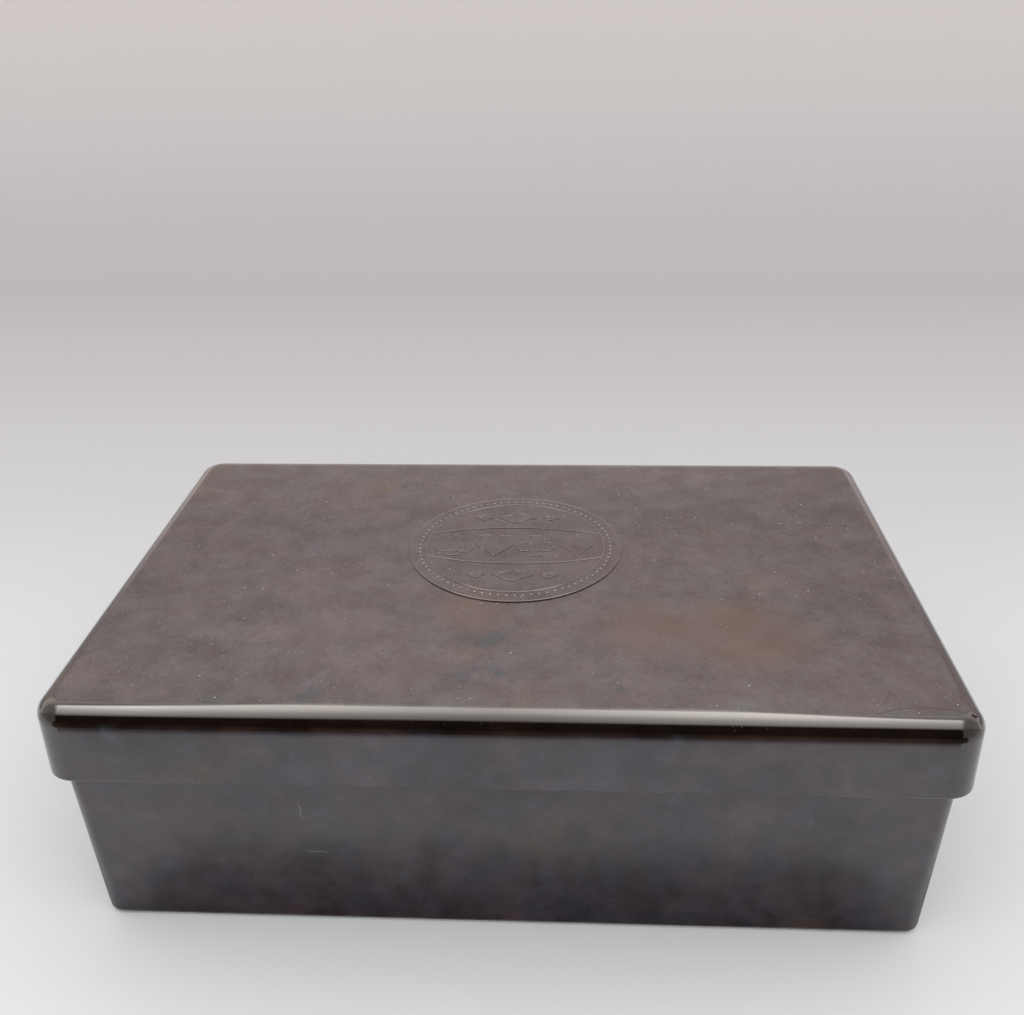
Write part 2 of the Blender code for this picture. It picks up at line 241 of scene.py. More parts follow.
# Gloss: a hard wax coat over the resin, thinner under dust and stains
LEVEL_GLOSS = 0.35
STAIN_GLOSS = 0.62
RESIN_IOR = 1.6
RESIN_SPECULAR = 0.2
WAX_IOR = 1.8
WAX_ROUGHNESS = 0.05

# The near black tone for the front's rounded edge is painted shade, and the pale one for rounded edges that
# face down is a painted highlight
CASE_TONES = {"ground": "1e1411", "flour": "33251f", "cool": "1d2024", "ochre": "40341b",
              "stain": "2b3a3d", "tan": "543f2a", "dust": "7d7b7c", "bloom": "575463", "speck": "dcd8d0",
              "front_painted_light": "120b09", "olive": "3b3626", "under_painted_highlight": "857c7a", "smear": "9a8f8c",
              "scratch": "8a8684", "crack": "030202"}
RACK_TONES = dict(CASE_TONES, ground="241510", flour="3f291f")
# On the beads the front-facing slopes take a pale tone instead: a painted glint
BEAD_TONES = dict(CASE_TONES, front_painted_light="837b77")

# Paper sweep: a floor that turns up into a wall
STAGE_FRONT = -3.0
STAGE_HALF_WIDTH = 3.0
SWEEP_START = 0.32
SWEEP_RADIUS = 0.30
SWEEP_STEPS = 24
WALL_TOP = 0.65

# The paper's tone, with painted shade that darkens it away from the floor round the case, by distance back
# along the floor plus height up the wall, and painted shade towards its sides
PAPER_AND_SHADE_TONES = ((-0.60, "c6c6c8"), (-0.24, "d2d2d4"), (-0.14, "e8e9ea"), (0.02, "e0e1e3"),
               (0.085, "d6d6d8"), (0.16, "cccbcd"), (0.28, "c6c4c6"), (0.36, "c1bfc1"),
               (0.44, "b9b5b7"), (0.54, "bdb9ba"), (0.66, "c9c5c4"), (0.86, "ddd5d0"),
               (0.95, "d0c1c1"), (1.01, "c9bbbb"), (1.08, "c9bbbb"), (1.15, "d6c7c7"))
SIDE_PAINTED_SHADE_TONE = "c0c0c2"
SIDE_PAINTED_SHADE_SPAN = (0.40, 1.20)
SIDE_PAINTED_SHADE_SHARE = 0.7
PAPER_ROUGHNESS = 0.9

# The wall's glow as the heights over which it rises and its level below and above them, and two
# more that only gloss reflections see
WALL_GLOW_TONE = "ffe2e2"
WALL_GLOW = (0.26, 0.66, 0.0, 0.24)
GLOSS_GLOWS = ((0.12, 0.24, 0.0, 0.40), (0.36, 0.60, 0.0, 0.40))

# Gloss reflections see the paper dark past a front edge, which runs at a slight tilt, as far to
# each side as the case and a little further the nearer the front
FLOOR_GLOSS_END = -0.13975
FLOOR_GLOSS_FADE = 0.0020
FLOOR_GLOSS_TILT = 0.0028
ROOM_SPREAD = 0.75
ROOM_SIDE_FADE = 0.06

# They see a deeper shade close against the foot of the case
FOOT_LEAN = 0.003
CONTACT_REACH = 0.048
CONTACT_DARKNESS = 0.97
CONTACT_END_FADE = 0.022

# They see less light on the floor, up to where it turns into the wall, and less on the wall by
# distance from its middle, with the share lost and the heights over which the loss starts
FLOOR_GLOSS_LOSS = 0.38
FLOOR_LOSS_RISE = 0.10
WALL_MIDDLE = -0.04
WALL_LOSSES = ((0.10, 0.34, 0.17, 0.20, 0.30), (0.35, 0.60, 0.45, 0.02, 0.10),
               (0.60, 2.60, 0.72, 0.02, 0.10))

# Soft light from all round, and from low in front
SOFT_LIGHT = 1.30
FRONT_SOFT_LIGHT = 0.76

# Room in the gloss reflections: its tones, and the degrees up from the front, the turn to the front
# and the distance from its middle at which its dark part ends
BACKGROUND_TONE = "dadadc"
ROOM_TONE = "a39d99"
DARK_TONE = "0c0808"
ROOM_MIDDLE = -0.045
DARK_CLIMB = (44, 60)
DARK_TURN = (-0.1, 0.05)
DARK_SIDE = (0.41, 0.52)

# Lamp in the gloss reflections: its level by degrees up from the front, its shares from left to
# right, how much lower its near edge lies on the left, how far its far edge bows and where it ends
LAMP_TONE = "fff8f2"
LAMP_CLIMB = ((43, 0.0), (50, 0.45), (58, 0.85), (66, 1.0), (78, 1.4), (90, 2.0), (102, 2.7),
              (114, 2.9))
LAMP_SIDES = ((-0.60, 0.0), (-0.52, 0.6), (-0.43, 1.8), (-0.38, 2.1), (-0.32, 1.5), (-0.20, 1.2),
              (-0.06, 0.87), (0.08, 1.37), (0.21, 1.76), (0.26, 1.8), (0.30, 1.74), (0.36, 1.6),
              (0.45, 0.6), (0.54, 0.0))
LAMP_LEAN = (-0.36, -0.10, 6, 0)
LAMP_BOW = (0.17, 0.38, 0, 33)
LAMP_END = (130, 143)

# What gloss reflections see beside the lamp, by distance from the room's middle and by degrees up,
# and past it overhead
BESIDE_LAMP = 0.28
BESIDE_SIDE = (0.40, 0.48)
BESIDE_CLIMB = (45, 65)
CEILING = (84, 134, 0.0, 0.9)

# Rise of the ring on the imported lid's disc, its highest part
PACKED_RING_RISE = 0.0002

CASE_HEIGHT = LID_HIGH.z - ROUNDEL_RISE - PACKED_RING_RISE
SKIRT_HEIGHT = LID_LOW.z
RIM_HEIGHT = BASE_HIGH.z
LID_UNDERSIDE = CASE_HEIGHT - LID_TOP
SHOULDER_HEIGHT = SKIRT_HEIGHT + SHOULDER_LIFT
BASE_INSET = LID_WALL + SKIRT_CLEARANCE
DISC_HEIGHT = CASE_HEIGHT + ROUNDEL_RISE
MILLIMETRES = 1000.0


def slope(degrees):
    """Sideways run of a drafted wall for each unit of its height."""
    return math.tan(math.radians(degrees))


def lid_inner_inset(height):
    return LID_WALL + (height - SKIRT_HEIGHT) * slope(LID_INNER_DRAFT_DEGREES)


def base_outer_inset(height):
    return BASE_INSET + (SKIRT_HEIGHT - height) * slope(BASE_DRAFT_DEGREES)


def spigot_inset(height):
    rise = height - SHOULDER_HEIGHT
    return base_outer_inset(SHOULDER_HEIGHT) + SPIGOT_STEP + rise * slope(SPIGOT_DRAFT_DEGREES)


def base_inner_inset(height):
    rise = height - FLOOR_HEIGHT
    return base_outer_inset(FLOOR_HEIGHT) + BASE_WALL - rise * slope(BASE_INNER_DRAFT_DEGREES)


def arc(start_degrees, end_degrees, steps):
    """Cosine and sine at even steps along an arc."""
    turns = []
    for step in range(steps + 1):
        angle = math.radians(start_degrees + (end_degrees - start_degrees) * step / steps)
        turns.append((math.cos(angle), math.sin(angle)))
    return turns


def rounded_rectangle(half_length, half_width, radius, height):
    """One level's outline, anticlockwise from above."""
    radius = max(radius, LEAST_CORNER_RADIUS)
    points = []
    for quarter, (side_x, side_y) in enumerate(((1, 1), (-1, 1), (-1, -1), (1, -1))):
        centre_x = side_x * (half_length - radius)
        centre_y = side_y * (half_width - radius)
        for cosine, sine in arc(90 * quarter, 90 * quarter + 90, CORNER_STEPS):
            points.append((centre_x + radius * cosine, centre_y + radius * sine, height))
    return points


def case_ring(inset, radius, height):
    """A level that lies inset from the lid's outline."""
    return rounded_rectangle(LID_HIGH.x - inset, LID_HIGH.y - inset, radius, height)


def circle_ring(radius, height, middle_y, steps):
    return [(radius * cosine, middle_y + radius * sine, height)
            for cosine, sine in arc(0, 360, steps)[:-1]]


def add_loops(shape, rings):
    """Faces from ring to ring; gives back the first and the last loop."""
    loops = [[shape.verts.new(point) for point in ring] for ring in rings]
    for lower, upper in zip(loops, loops[1:]):
        for here in range(len(lower)):
            after = (here + 1) % len(lower)
            shape.faces.new((lower[here], lower[after], upper[after], upper[here]))
    return loops[0], loops[-1]


def loop_edges(shape, loop):
    return [shape.edges.get((here, after)) for here, after in zip(loop, loop[1:] + loop[:1])]


def link(name, mesh):
    made = bpy.data.objects.new(name, mesh)
    bpy.context.scene.collection.objects.link(made)
    return made


def shade(mesh):
    """Smooth shading under which flats stay flat."""
    mesh.shade_smooth()
    mesh.set_sharp_from_angle(angle=math.radians(SMOOTH_ANGLE_DEGREES))


def solid(name, shape):
    """The finished bmesh as an object."""
    bmesh.ops.recalc_face_normals(shape, faces=shape.faces)
    mesh = bpy.data.meshes.new(name)
    shape.to_mesh(mesh)
    shape.free()
    shade(mesh)
    return link(name, mesh)


def skin(name, rings):
    """A closed body through the rings, with its first and last ring capped."""
    shape = bmesh.new()
    first, last = add_loops(shape, rings)
    shape.faces.new(first)
    shape.faces.new(last)
    return solid(name, shape)


def settle(piece):
    """Keeps the piece as its modifiers leave it, as a plain mesh."""
    shaped = piece.evaluated_get(bpy.context.evaluated_depsgraph_get())
    mesh = bpy.data.meshes.new_from_object(shaped)
    piece.modifiers.clear()
    piece.data = mesh
    return piece


def even_shading(piece):
    """Normals follow the large faces, so a fillet runs into its flat without a shadow."""
    weighted = piece.modifiers.new("even_shading", 'WEIGHTED_NORMAL')
    weighted.weight = FACE_WEIGHT
    weighted.keep_sharp = True
    return settle(piece)


def round_edges(piece, width, clamp=True):
    rounding = piece.modifiers.new("rounding", 'BEVEL')
    rounding.width = width
    rounding.segments = ROUNDING_SEGMENTS
    rounding.limit_method = 'ANGLE'
    rounding.angle_limit = math.radians(SMOOTH_ANGLE_DEGREES)
    rounding.use_clamp_overlap = clamp
    return settle(piece)


def combine(target, tools, operation):
    """Joins or cuts, and leaves nothing of the tools."""
    for tool in tools:
        boolean = target.modifiers.new(tool.name, 'BOOLEAN')
        boolean.operation = operation
        boolean.solver = 'EXACT'
        boolean.object = tool
    settle(target)
    for tool in tools:
        bpy.data.objects.remove(tool)
    return target


def small_round(inset, corner, height, radius, inward, upward, angles=(0, 90)):
    """Rings over a small rounded edge or fillet, which turns inward from the inset or, as -1,
    outward, and lies above the height or, as -1, below it."""
    rings = []
    for across, along in arc(*angles, SMALL_EDGE_STEPS):
        shift = inward * radius * (1 - across)
        rings.append(case_ring(inset + shift, corner - shift, height + upward * radius * along))
    return rings


def lid_shell_rings():
    """From the underside, down inside the skirt, round its edge and over the top."""
    inner_corner = PLAN_CORNER_RADIUS - LID_WALL
    rings = []
    fillet_height = LID_UNDERSIDE - LID_INNER_FILLET
    fillet_inset = lid_inner_inset(fillet_height) + LID_INNER_FILLET
    for outward, up in arc(90, 0, SMALL_EDGE_STEPS):
        rings.append(case_ring(fillet_inset - LID_INNER_FILLET * outward,
                               inner_corner - LID_INNER_FILLET * (1 - outward),
                               fillet_height + LID_INNER_FILLET * up))
    edge_height = SKIRT_HEIGHT + SKIRT_EDGE_RADIUS
    rings += small_round(LID_WALL, inner_corner, edge_height, SKIRT_EDGE_RADIUS, -1, -1)
    rings += small_round(0, PLAN_CORNER_RADIUS, edge_height, SKIRT_EDGE_RADIUS, 1, -1, (90, 0))
    ease = math.radians(90 - LID_EASE_DEGREES)
    ease_height = CASE_HEIGHT - LID_EASE_RADIUS
    ease_shift = LID_EASE_RADIUS - LID_EDGE_RADIUS
    round_height = ease_height + ease_shift * math.sin(ease)
    round_inset = (round_height - SKIRT_HEIGHT) * slope(LID_DRAFT_DEGREES)
    round_inset += LID_EDGE_RADIUS / math.cos(math.radians(LID_DRAFT_DEGREES))
    ease_inset = round_inset + ease_shift * math.cos(ease)
    for radius, inset, height, turns in (
            (LID_EDGE_RADIUS, round_inset, round_height,
             arc(LID_DRAFT_DEGREES, 90 - LID_EASE_DEGREES, EDGE_STEPS)),
            (LID_EASE_RADIUS, ease_inset, ease_height,
             arc(90 - LID_EASE_DEGREES, 90, EASE_STEPS)[1:])):
        for outward, up in turns:
            level_inset = inset - radius * outward
            rings.append(case_ring(level_inset, PLAN_CORNER_RADIUS - level_inset, height + radius * up))
    return rings


def moulded_ring(outer_radius, rise):
    """A low half round ring on the disc, as radius and height."""
    middle = outer_radius - LINE_WIDTH / 2
    return [(middle + LINE_WIDTH / 2 * outward, DISC_HEIGHT + rise * up)
            for outward, up in arc(0, 180, SMALL_EDGE_STEPS + 1)]


def roundel_profile():
    """From the lid's top, up the step and over the rim and the inner ring to the middle."""
    step = ROUNDEL_STEP_FILLET
    profile = [(ROUNDEL_RADIUS, CASE_HEIGHT)]
    for outward, up in arc(0, 90, SMALL_EDGE_STEPS):
        profile.append((ROUNDEL_RADIUS - step * (1 - outward), DISC_HEIGHT - step * (1 - up)))
    profile += moulded_ring(ROUNDEL_RADIUS - 2 * step, RIM_RISE)
    return profile + moulded_ring(INNER_RING_RADIUS, RING_RISE)


def chip_cutter(middle, half_size, turn_degrees):
    """A tool for a shallow chip: a flattened ball, turned about its upright axis."""
    shape = bmesh.new()
    bmesh.ops.create_icosphere(shape, subdivisions=3, radius=1.0)
    stretch = Matrix.Diagonal((*half_size, 1))
    turn = Matrix.Rotation(math.radians(turn_degrees), 4, 'Z')
    shape.transform(Matrix.Translation(middle) @ turn @ stretch)
    return solid("chip", shape)


def make_lid_shell():
    shape = bmesh.new()
    underside, top = add_loops(shape, lid_shell_rings())
    shape.faces.new(underside)
    rings = [circle_ring(radius, height, ROUNDEL_BACK_OFFSET, ROUNDEL_STEPS)
             for radius, height in roundel_profile()]
    foot, field = add_loops(shape, rings)
    shape.faces.new(field)
    border = loop_edges(shape, top) + loop_edges(shape, foot)
    bmesh.ops.triangle_fill(shape, use_beauty=True, edges=border)
    shell = solid("lid_shell", shape)
    return even_shading(combine(shell, [chip_cutter(*chip) for chip in LID_CHIPS], 'DIFFERENCE'))


def web_section(top):
    """Across a web: drafted sides, rounded top; as offset from its middle and height."""
    root = FLOOR_HEIGHT / 2
    flank = top - WEB_TOP_RADIUS
    half_root = WEB_TOP_WIDTH / 2 + (top - root) * slope(WEB_DRAFT_DEGREES)
    side = [(half_root, root)]
    for outward, up in arc(0, 90, SMALL_EDGE_STEPS):
        side.append((WEB_TOP_WIDTH / 2 - WEB_TOP_RADIUS * (1 - outward),
                     flank + WEB_TOP_RADIUS * up))
    return side + [(-offset, height) for offset, height in reversed(side)]


def make_webs():
    """Two long webs and the stop across the middle, each ending inside what it grows from."""
    reach_x = LID_HIGH.x - base_inner_inset(RIM_HEIGHT) + BASE_WALL / 4
    reach_y = LID_HIGH.y - base_inner_inset(RIM_HEIGHT) + BASE_WALL / 4
    long_top = RIM_HEIGHT - LONG_WEB_BELOW_RIM
    thickness = WEB_TOP_WIDTH / 2 + (long_top - FLOOR_HEIGHT) * slope(WEB_DRAFT_DEGREES)
    long_web_y = CARD_WELL_WIDTH / 2 + thickness
    webs = []
    for name, side in (("front_web", -1), ("back_web", 1)):
        rings = [[(x, side * long_web_y + offset, height) for offset, height in web_section(long_top)]
                 for x in (-reach_x, reach_x)]
        webs.append(skin(name, rings))
    for name, reach, top in (("rack_stop", reach_y, FLOOR_HEIGHT + RACK_STOP_HEIGHT),
                             ("card_stop", long_web_y, RIM_HEIGHT - CARD_STOP_BELOW_RIM)):
        rings = [[(offset, y, height) for offset, height in web_section(top)]
                 for y in (-reach, reach)]
        webs.append(skin(name, rings))
    return webs


def base_shell_rings():
    """From the underside's recess, over the foot, up outside and down to the floor."""
    outer_corner = PLAN_CORNER_RADIUS - BASE_INSET
    spigot_corner = outer_corner - SPIGOT_STEP
    inner_corner = BASE_INNER_CORNER_RADIUS
    foot_inset = base_outer_inset(FOOT_RADIUS) + FOOT_RADIUS / math.cos(math.radians(BASE_DRAFT_DEGREES))
    recess_inset = foot_inset + FOOT_RIM_WIDTH
    foot_corner = outer_corner - FOOT_RADIUS
    rings = [case_ring(recess_inset, foot_corner, FOOT_RECESS),
             case_ring(recess_inset, foot_corner, 0)]
    for down, outward in arc(0, 90 - BASE_DRAFT_DEGREES, EDGE_STEPS):
        rings.append(case_ring(foot_inset - FOOT_RADIUS * outward,
                               outer_corner - FOOT_RADIUS * (1 - outward),
                               FOOT_RADIUS * (1 - down)))
    rings.append(case_ring(base_outer_inset(SHOULDER_HEIGHT), outer_corner, SHOULDER_HEIGHT))
    rings.append(case_ring(spigot_inset(SHOULDER_HEIGHT), spigot_corner, SHOULDER_HEIGHT))
    round_height = RIM_HEIGHT - RIM_RADIUS
    rings += small_round(spigot_inset(round_height), spigot_corner, round_height, RIM_RADIUS, 1, 1)
    rings += small_round(base_inner_inset(round_height), inner_corner, round_height, RIM_RADIUS,
                         -1, 1, (90, 0))
    fillet_height = FLOOR_HEIGHT + BASE_FLOOR_FILLET
    return rings + small_round(base_inner_inset(fillet_height), inner_corner, fillet_height,
                               BASE_FLOOR_FILLET, 1, -1)


def make_base_shell():
    shell = combine(skin("base_shell", base_shell_rings()), make_webs(), 'UNION')
    shade(shell.data)
    return even_shading(shell)


def along_x(outline, start, end):
    """The two end rings of a bar whose section lies across X."""
    return [[(x, y, z) for y, z in outline] for x in (start, end)]


def rack_end_outline(half_width, trough_radius, height):
    """Square to the lands, then an arch round the chips under a finger tab."""
    axis_height = RACK_FLOOR + trough_radius
    land_angle = math.degrees(math.asin(RACK_LAND_RISE / trough_radius))
    tab_angle = math.degrees(math.acos(TAB_WIDTH / 2 / trough_radius))
    side = [(half_width, 0), (half_width, axis_height + RACK_LAND_RISE)]
    for cosine, sine in arc(land_angle, tab_angle, ARCH_STEPS):
        side.append((trough_radius * cosine, axis_height + trough_radius * sine))
    for cosine, sine in arc(0, 90, ARCH_STEPS):
        side.append((TAB_WIDTH / 2 - TAB_CORNER_RADIUS * (1 - cosine),
                     height - TAB_CORNER_RADIUS * (1 - sine)))
    return side + [(-y, z) for y, z in reversed(side)]


def trough_outline(half_width, trough_radius, height):
    """The row's round trough and all that lies above the lands."""
    axis_height = RACK_FLOOR + trough_radius
    land_height = axis_height + RACK_LAND_RISE
    outline = [(half_width + CUT_OVERRUN, height + CUT_OVERRUN),
               (-half_width - CUT_OVERRUN, height + CUT_OVERRUN),
               (-half_width - CUT_OVERRUN, land_height), (-trough_radius, land_height)]
    for cosine, sine in arc(180, 360, TROUGH_STEPS):
        outline.append((trough_radius * cosine, axis_height + trough_radius * sine))
    outline.append((trough_radius, land_height))
    outline.append((half_width + CUT_OVERRUN, land_height))
    return outline


def pocket_outline(side, half_width, trough_radius):
    """The hollow under one side of the trough, open below."""
    axis_height = RACK_FLOOR + trough_radius
    outer_radius = trough_radius + RACK_FLOOR
    wall_face = half_width - RACK_SIDE_WALL
    foot_angle = math.degrees(math.asin(RACK_FOOT_WIDTH / 2 / outer_radius))
    wall_angle = math.degrees(math.asin(wall_face / outer_radius))
    outline = [(side * RACK_FOOT_WIDTH / 2, -CUT_OVERRUN)]
    for down, outward in arc(foot_angle, wall_angle, ARCH_STEPS):
        outline.append((side * outer_radius * outward, axis_height - outer_radius * down))
    outline.append((side * wall_face, -CUT_OVERRUN))
    return outline


def rack_mesh():
    """One rack about its own middle, standing on zero, to the frame's size."""
    low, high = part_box("chip_rack_front_right")
    half_length, half_width, height = (high.x - low.x) / 2, (high.y - low.y) / 2, high.z - low.z
    trough_radius = half_width - RACK_LAND
    inner_end = half_length - RACK_END_PLATE
    rack = skin("rack", along_x(rack_end_outline(half_width, trough_radius, height),
                                -half_length, half_length))
    plan = [rounded_rectangle(half_length, half_width, RACK_CORNER_RADIUS, level)
            for level in (-CUT_OVERRUN, height + CUT_OVERRUN)]
    combine(rack, [skin("rack_plan", plan)], 'INTERSECT')
    hole_height = height - FINGER_HOLE_MARGIN - FINGER_HOLE_RADIUS
    hole = [(FINGER_HOLE_RADIUS * cosine, hole_height + FINGER_HOLE_RADIUS * sine)
            for cosine, sine in arc(0, 360, HOLE_STEPS)[:-1]]
    reach = half_length + CUT_OVERRUN
    cuts = [(trough_outline(half_width, trough_radius, height), inner_end), (hole, reach)]
    for side in (-1, 1):
        cuts.append((pocket_outline(side, half_width, trough_radius), inner_end))
    combine(rack, [skin("rack_cut", along_x(outline, -end, end)) for outline, end in cuts],
            'DIFFERENCE')
    round_edges(rack, RACK_EDGE_RADIUS)
    shade(rack.data)
    even_shading(rack)
    mesh = rack.data
    bpy.data.objects.remove(rack)
    return mesh


def make_racks():
    """A smooth rack over each of the four packed ones."""
    pattern = rack_mesh()
    racks = []
    for row in ("front", "back"):
        for column in ("left", "right"):
            node = "chip_rack_" + row + "_" + column
            low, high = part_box(node)
            mesh = pattern.copy()
            mesh.transform(Matrix.Translation(((low.x + high.x) / 2, (low.y + high.y) / 2, low.z)))
            rack = link("rack_" + row + "_" + column, mesh)
            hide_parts(node)
            racks.append(rack)
    return racks


def add(tree, kind, inputs=(), **settings):
    """Adds a node, sets it up, and links or sets its inputs, given in order or by name."""
    node = tree.nodes.new(kind)
    for name, value in settings.items():
        setattr(node, name, value)
    for key, value in inputs.items() if isinstance(inputs, dict) else enumerate(inputs):
        if isinstance(key, int):
            target = node.inputs[key]
        else:
            target = next(entry for entry in node.inputs if entry.name == key and entry.enabled)
        if isinstance(value, bpy.types.Node):
            value = next(entry for entry in value.outputs if entry.enabled)
        if isinstance(value, bpy.types.NodeSocket):
            tree.links.new(value, target)
        else:
            target.default_value = value
    return node


def colour(code):
    """An sRGB hex colour as linear red, green, blue and alpha."""
    channels = [int(code[place:place + 2], 16) / 255 for place in (0, 2, 4)]
    linear = [value / 12.92 if value <= 0.04045 else ((value + 0.055) / 1.055) ** 2.4
              for value in channels]
    return (*linear, 1)


def geometry_tree(name, inputs):
    """An empty Geometry Nodes group with named inputs; gives back the tree and its two ends."""
    tree = bpy.data.node_groups.new(name, 'GeometryNodeTree')
    tree.interface.new_socket("Geometry", in_out='INPUT', socket_type='NodeSocketGeometry')
    for label, kind in inputs:
        tree.interface.new_socket(label, in_out='INPUT', socket_type=kind)
    tree.interface.new_socket("Geometry", in_out='OUTPUT', socket_type='NodeSocketGeometry')
    return tree, add(tree, 'NodeGroupInput'), add(tree, 'NodeGroupOutput')


def run_tree(piece, tree, values):
    """Gives the piece the tree's result as a plain mesh."""
    modifier = piece.modifiers.new(tree.name, 'NODES')
    modifier.node_group = tree
    for entry in tree.interface.items_tree:
        if entry.item_type == 'SOCKET' and entry.in_out == 'INPUT' and entry.name in values:
            modifier[entry.identifier] = values[entry.name]
    return settle(piece)


def raised_line_tree():
    """Sweeps a low half round moulding along the piece's edges."""
    tree, given, result = geometry_tree("raised_line", (
        ("Width", 'NodeSocketFloat'), ("Rise", 'NodeSocketFloat'),
        ("Material", 'NodeSocketMaterial')))
    half = add(tree, 'ShaderNodeMath', (given.outputs["Width"], 2.0), operation='DIVIDE')
    section = add(tree, 'ShaderNodeCombineXYZ', {"X": half, "Y": given.outputs["Rise"], "Z": 1.0})
    circle = add(tree, 'GeometryNodeCurvePrimitiveCircle', {"Resolution": LINE_SIDES, "Radius": 1.0})
    profile = add(tree, 'GeometryNodeTransform', {"Geometry": circle, "Scale": section})
    path = add(tree, 'GeometryNodeMeshToCurve', {"Mesh": given.outputs["Geometry"]})
    upright = add(tree, 'GeometryNodeSetCurveNormal', {"Curve": path}, mode='Z_UP')
    swept = add(tree, 'GeometryNodeCurveToMesh',
                {"Curve": upright, "Profile Curve": profile, "Fill Caps": True})
    smooth = add(tree, 'GeometryNodeSetShadeSmooth', {"Geometry": swept})
    real = add(tree, 'GeometryNodeRealizeInstances', {"Geometry": smooth})
    finished = add(tree, 'GeometryNodeSetMaterial',
                   {"Geometry": real, "Material": given.outputs["Material"]})
    tree.links.new(finished.outputs[0], result.inputs[0])
    return tree


def bead_ring_tree():
    """Low beads at even steps round a circle."""
    tree, given, result = geometry_tree("bead_ring", (
        ("Ring radius", 'NodeSocketFloat'), ("Ring middle", 'NodeSocketVector'),
        ("Bead radius", 'NodeSocketFloat'), ("Rise share", 'NodeSocketFloat'),
        ("Count", 'NodeSocketInt'), ("Material", 'NodeSocketMaterial')))
    ring = add(tree, 'GeometryNodeCurvePrimitiveCircle',
               {"Resolution": given.outputs["Count"], "Radius": given.outputs["Ring radius"]})
    placed = add(tree, 'GeometryNodeTransform',
                 {"Geometry": ring, "Translation": given.outputs["Ring middle"]})
    bead = add(tree, 'GeometryNodeMeshUVSphere',
               {"Segments": BEAD_SEGMENTS, "Rings": BEAD_RINGS, "Radius": given.outputs["Bead radius"]})
    low = add(tree, 'ShaderNodeCombineXYZ', {"X": 1.0, "Y": 1.0, "Z": given.outputs["Rise share"]})
    flat_bead = add(tree, 'GeometryNodeTransform', {"Geometry": bead, "Scale": low})
    beads = add(tree, 'GeometryNodeInstanceOnPoints', {"Points": placed, "Instance": flat_bead})
    real = add(tree, 'GeometryNodeRealizeInstances', {"Geometry": beads})
    smooth = add(tree, 'GeometryNodeSetShadeSmooth', {"Geometry": real})
    finished = add(tree, 'GeometryNodeSetMaterial',
                   {"Geometry": smooth, "Material": given.outputs["Material"]})
    tree.links.new(finished.outputs[0], result.inputs[0])
    return tree


def cubic(start, first_pull, second_pull, end):
    """Points along a cubic curve, up to but without its end."""
    points = []
    for step in range(CURVE_STEPS):
        t = step / CURVE_STEPS
        weights = ((1 - t) ** 3, 3 * t * (1 - t) ** 2, 3 * t * t * (1 - t), t ** 3)
        points.append(tuple(sum(weight * point[axis] for weight, point in
                                zip(weights, (start, first_pull, second_pull, end)))
                            for axis in (0, 1)))
    return points


def mirrored(half):
    """Closes a right half, which starts and ends on the middle line, with its left half."""
    return half + [(-x, y) for x, y in reversed(half[1:-1])]


STEM_SHARES = ((0.05, -0.27), (0.06, -0.42), (0.12, -0.50), (0.21, -0.56))


def heart_shares():
    half = cubic((0, -0.56), (0.10, -0.38), (0.50, -0.12), (0.50, 0.22))
    half += cubic((0.50, 0.22), (0.50, 0.42), (0.40, 0.53), (0.27, 0.53))
    half += cubic((0.27, 0.53), (0.13, 0.53), (0.03, 0.42), (0, 0.30))
    return mirrored(half + [(0, 0.30)])


def diamond_shares():
    half = cubic((0, 0.56), (0.13, 0.34), (0.26, 0.14), (0.42, 0))
    half += cubic((0.42, 0), (0.26, -0.14), (0.13, -0.34), (0, -0.56))
    return mirrored(half + [(0, -0.56)])


def spade_shares():
    half = cubic((0, 0.56), (0.10, 0.36), (0.50, 0.14), (0.50, -0.12))
    half += cubic((0.50, -0.12), (0.50, -0.30), (0.40, -0.38), (0.28, -0.38))
    half += cubic((0.28, -0.38), (0.18, -0.38), (0.09, -0.34), STEM_SHARES[0])
    half += cubic(*STEM_SHARES)
    return mirrored(half + [STEM_SHARES[-1], (0, -0.56)])


def club_shares():
    """Three round leaves that meet, over the spade's stem."""
    leaf, top_middle, side_middle = 0.245, (0, 0.30), (0.275, -0.07)
    stem_angle = -145
    between = math.dist(top_middle, side_middle)
    lean = math.degrees(math.atan2(side_middle[1] - top_middle[1], side_middle[0]))
    meet = math.degrees(math.acos(between / 2 / leaf))
    half = []
    for middle, start, end in ((top_middle, 90, lean + meet), (side_middle, lean + 180 - meet, stem_angle)):
        for cosine, sine in arc(start, end, CURVE_STEPS):
            half.append((middle[0] + leaf * cosine, middle[1] + leaf * sine))
    half += cubic(*STEM_SHARES)
    return mirrored(half + [STEM_SHARES[-1], (0, -0.56)])


def pip_outlines():
    """The four traditional suits, upright, in one row across the field."""
    outlines = []
    suits = (spade_shares(), heart_shares(), club_shares(), diamond_shares())
    for place, shares in enumerate(suits):
        middle = (place - (len(suits) - 1) / 2) * PIP_PITCH
        scale = PIP_HEIGHT / (max(y for _, y in shares) - min(y for _, y in shares))
        outlines.append([(middle + x * scale, y * scale) for x, y in shares])
    return outlines


def lozenge_outlines():
    """One large lozenge between two small ones, behind and in front of the row."""
    outlines = []
    for side in (-1, 1):
        for place in (-1, 0, 1):
            share = SMALL_LOZENGE_SHARE if place else 1
            middle_x, middle_y = place * SMALL_LOZENGE_OFFSET, side * LOZENGE_MIDDLE
            half_x, half_y = LOZENGE_HALF_LENGTH * share, LOZENGE_HALF_HEIGHT * share
            outlines.append([(middle_x + half_x, middle_y), (middle_x, middle_y + half_y),
                             (middle_x - half_x, middle_y), (middle_x, middle_y - half_y)])
    return outlines


